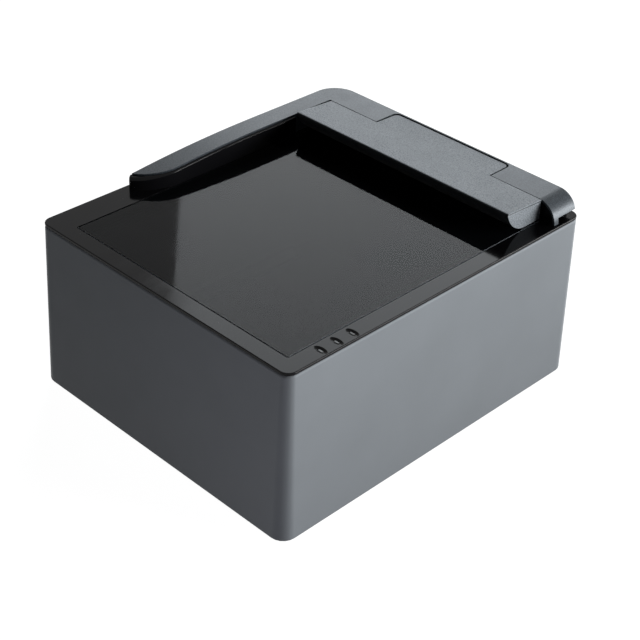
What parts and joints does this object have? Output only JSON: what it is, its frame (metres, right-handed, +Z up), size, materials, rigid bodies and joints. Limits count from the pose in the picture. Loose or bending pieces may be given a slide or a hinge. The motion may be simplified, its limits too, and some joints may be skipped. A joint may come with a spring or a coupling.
{
  "type": "passport reader",
  "caption": "Counter document reader: drafted case, glossy cover with a reading window, L-shaped guide and a sprung press flap that holds an open page flat.",
  "frame": {"origin": "on the table under the middle of the case", "axes": "+X to the right along the front face, +Y towards the back where the press flap and the sockets are, +Z up"},
  "size_m": [0.1562, 0.1848, 0.0949],
  "materials": {
    "case_grey": "fine spark-eroded texture, dark grey with a slight blue cast",
    "frame_grey": "fine texture, dark grey",
    "flap_grey": "speckled grain, mid grey",
    "gloss_black": "polished",
    "matt_black": "moulded, matt",
    "window_glass": "polished, dark in a closed case",
    "lens_glass": "coated, polished",
    "rubber": "matt",
    "steel": "zinc plated",
    "circuit_board": "solder mask, satin",
    "milky_plastic": "satin, light-scattering",
    "indicator_lens": "clear to milky, polished"
  },
  "bodies": {
    "case": {"housing": "case_grey", "base_plate": "matt_black", "foot_1": "rubber", "foot_2": "rubber", "foot_3": "rubber", "foot_4": "rubber", "base_screw_1": "steel", "base_screw_2": "steel", "base_screw_3": "steel", "base_screw_4": "steel", "main_board": "circuit_board", "board_screw_1": "steel", "board_screw_2": "steel", "board_screw_3": "steel", "board_screw_4": "steel", "usb_socket": "steel", "power_jack": "matt_black", "processor": "matt_black", "buzzer": "matt_black", "optical_chassis": "matt_black", "chassis_screw_1": "steel", "chassis_screw_2": "steel", "chassis_screw_3": "steel", "chassis_screw_4": "steel", "rfid_antenna": "circuit_board", "camera_board": "circuit_board", "lens_holder": "matt_black", "camera_lens": "lens_glass", "light_board_left": "circuit_board", "light_board_right": "circuit_board", "light_diffuser_left": "milky_plastic", "light_diffuser_right": "milky_plastic", "flex_cable": "milky_plastic", "top_cover": "gloss_black", "window_glass": "window_glass", "window_seal": "rubber", "indicator_lens_1": "indicator_lens", "indicator_lens_2": "indicator_lens", "indicator_lens_3": "indicator_lens", "indicator_board": "circuit_board", "guide_frame": "frame_grey", "guide_screw_1": "steel", "guide_screw_2": "steel", "guide_screw_3": "steel", "guide_screw_4": "steel", "hinge_pin": "steel", "flap_spring_left": "steel", "flap_spring_right": "steel"},
    "flap": {"press_flap": "flap_grey", "flap_floor": "matt_black", "flap_screw_1": "steel", "flap_screw_2": "steel", "flap_screw_3": "steel"}
  },
  "joints": [
    {"name": "flap_hinge", "type": "hinge", "parent": "case", "child": "flap", "pos_m": [0.0026, 0.0804, 0.091], "axis": [-1, 0, 0], "range_deg": [0, 20], "stiffness_Nm_per_rad": 0.05, "springref_deg": -17.19, "deforming": ["flap_spring_left", "flap_spring_right"]}
  ]
}
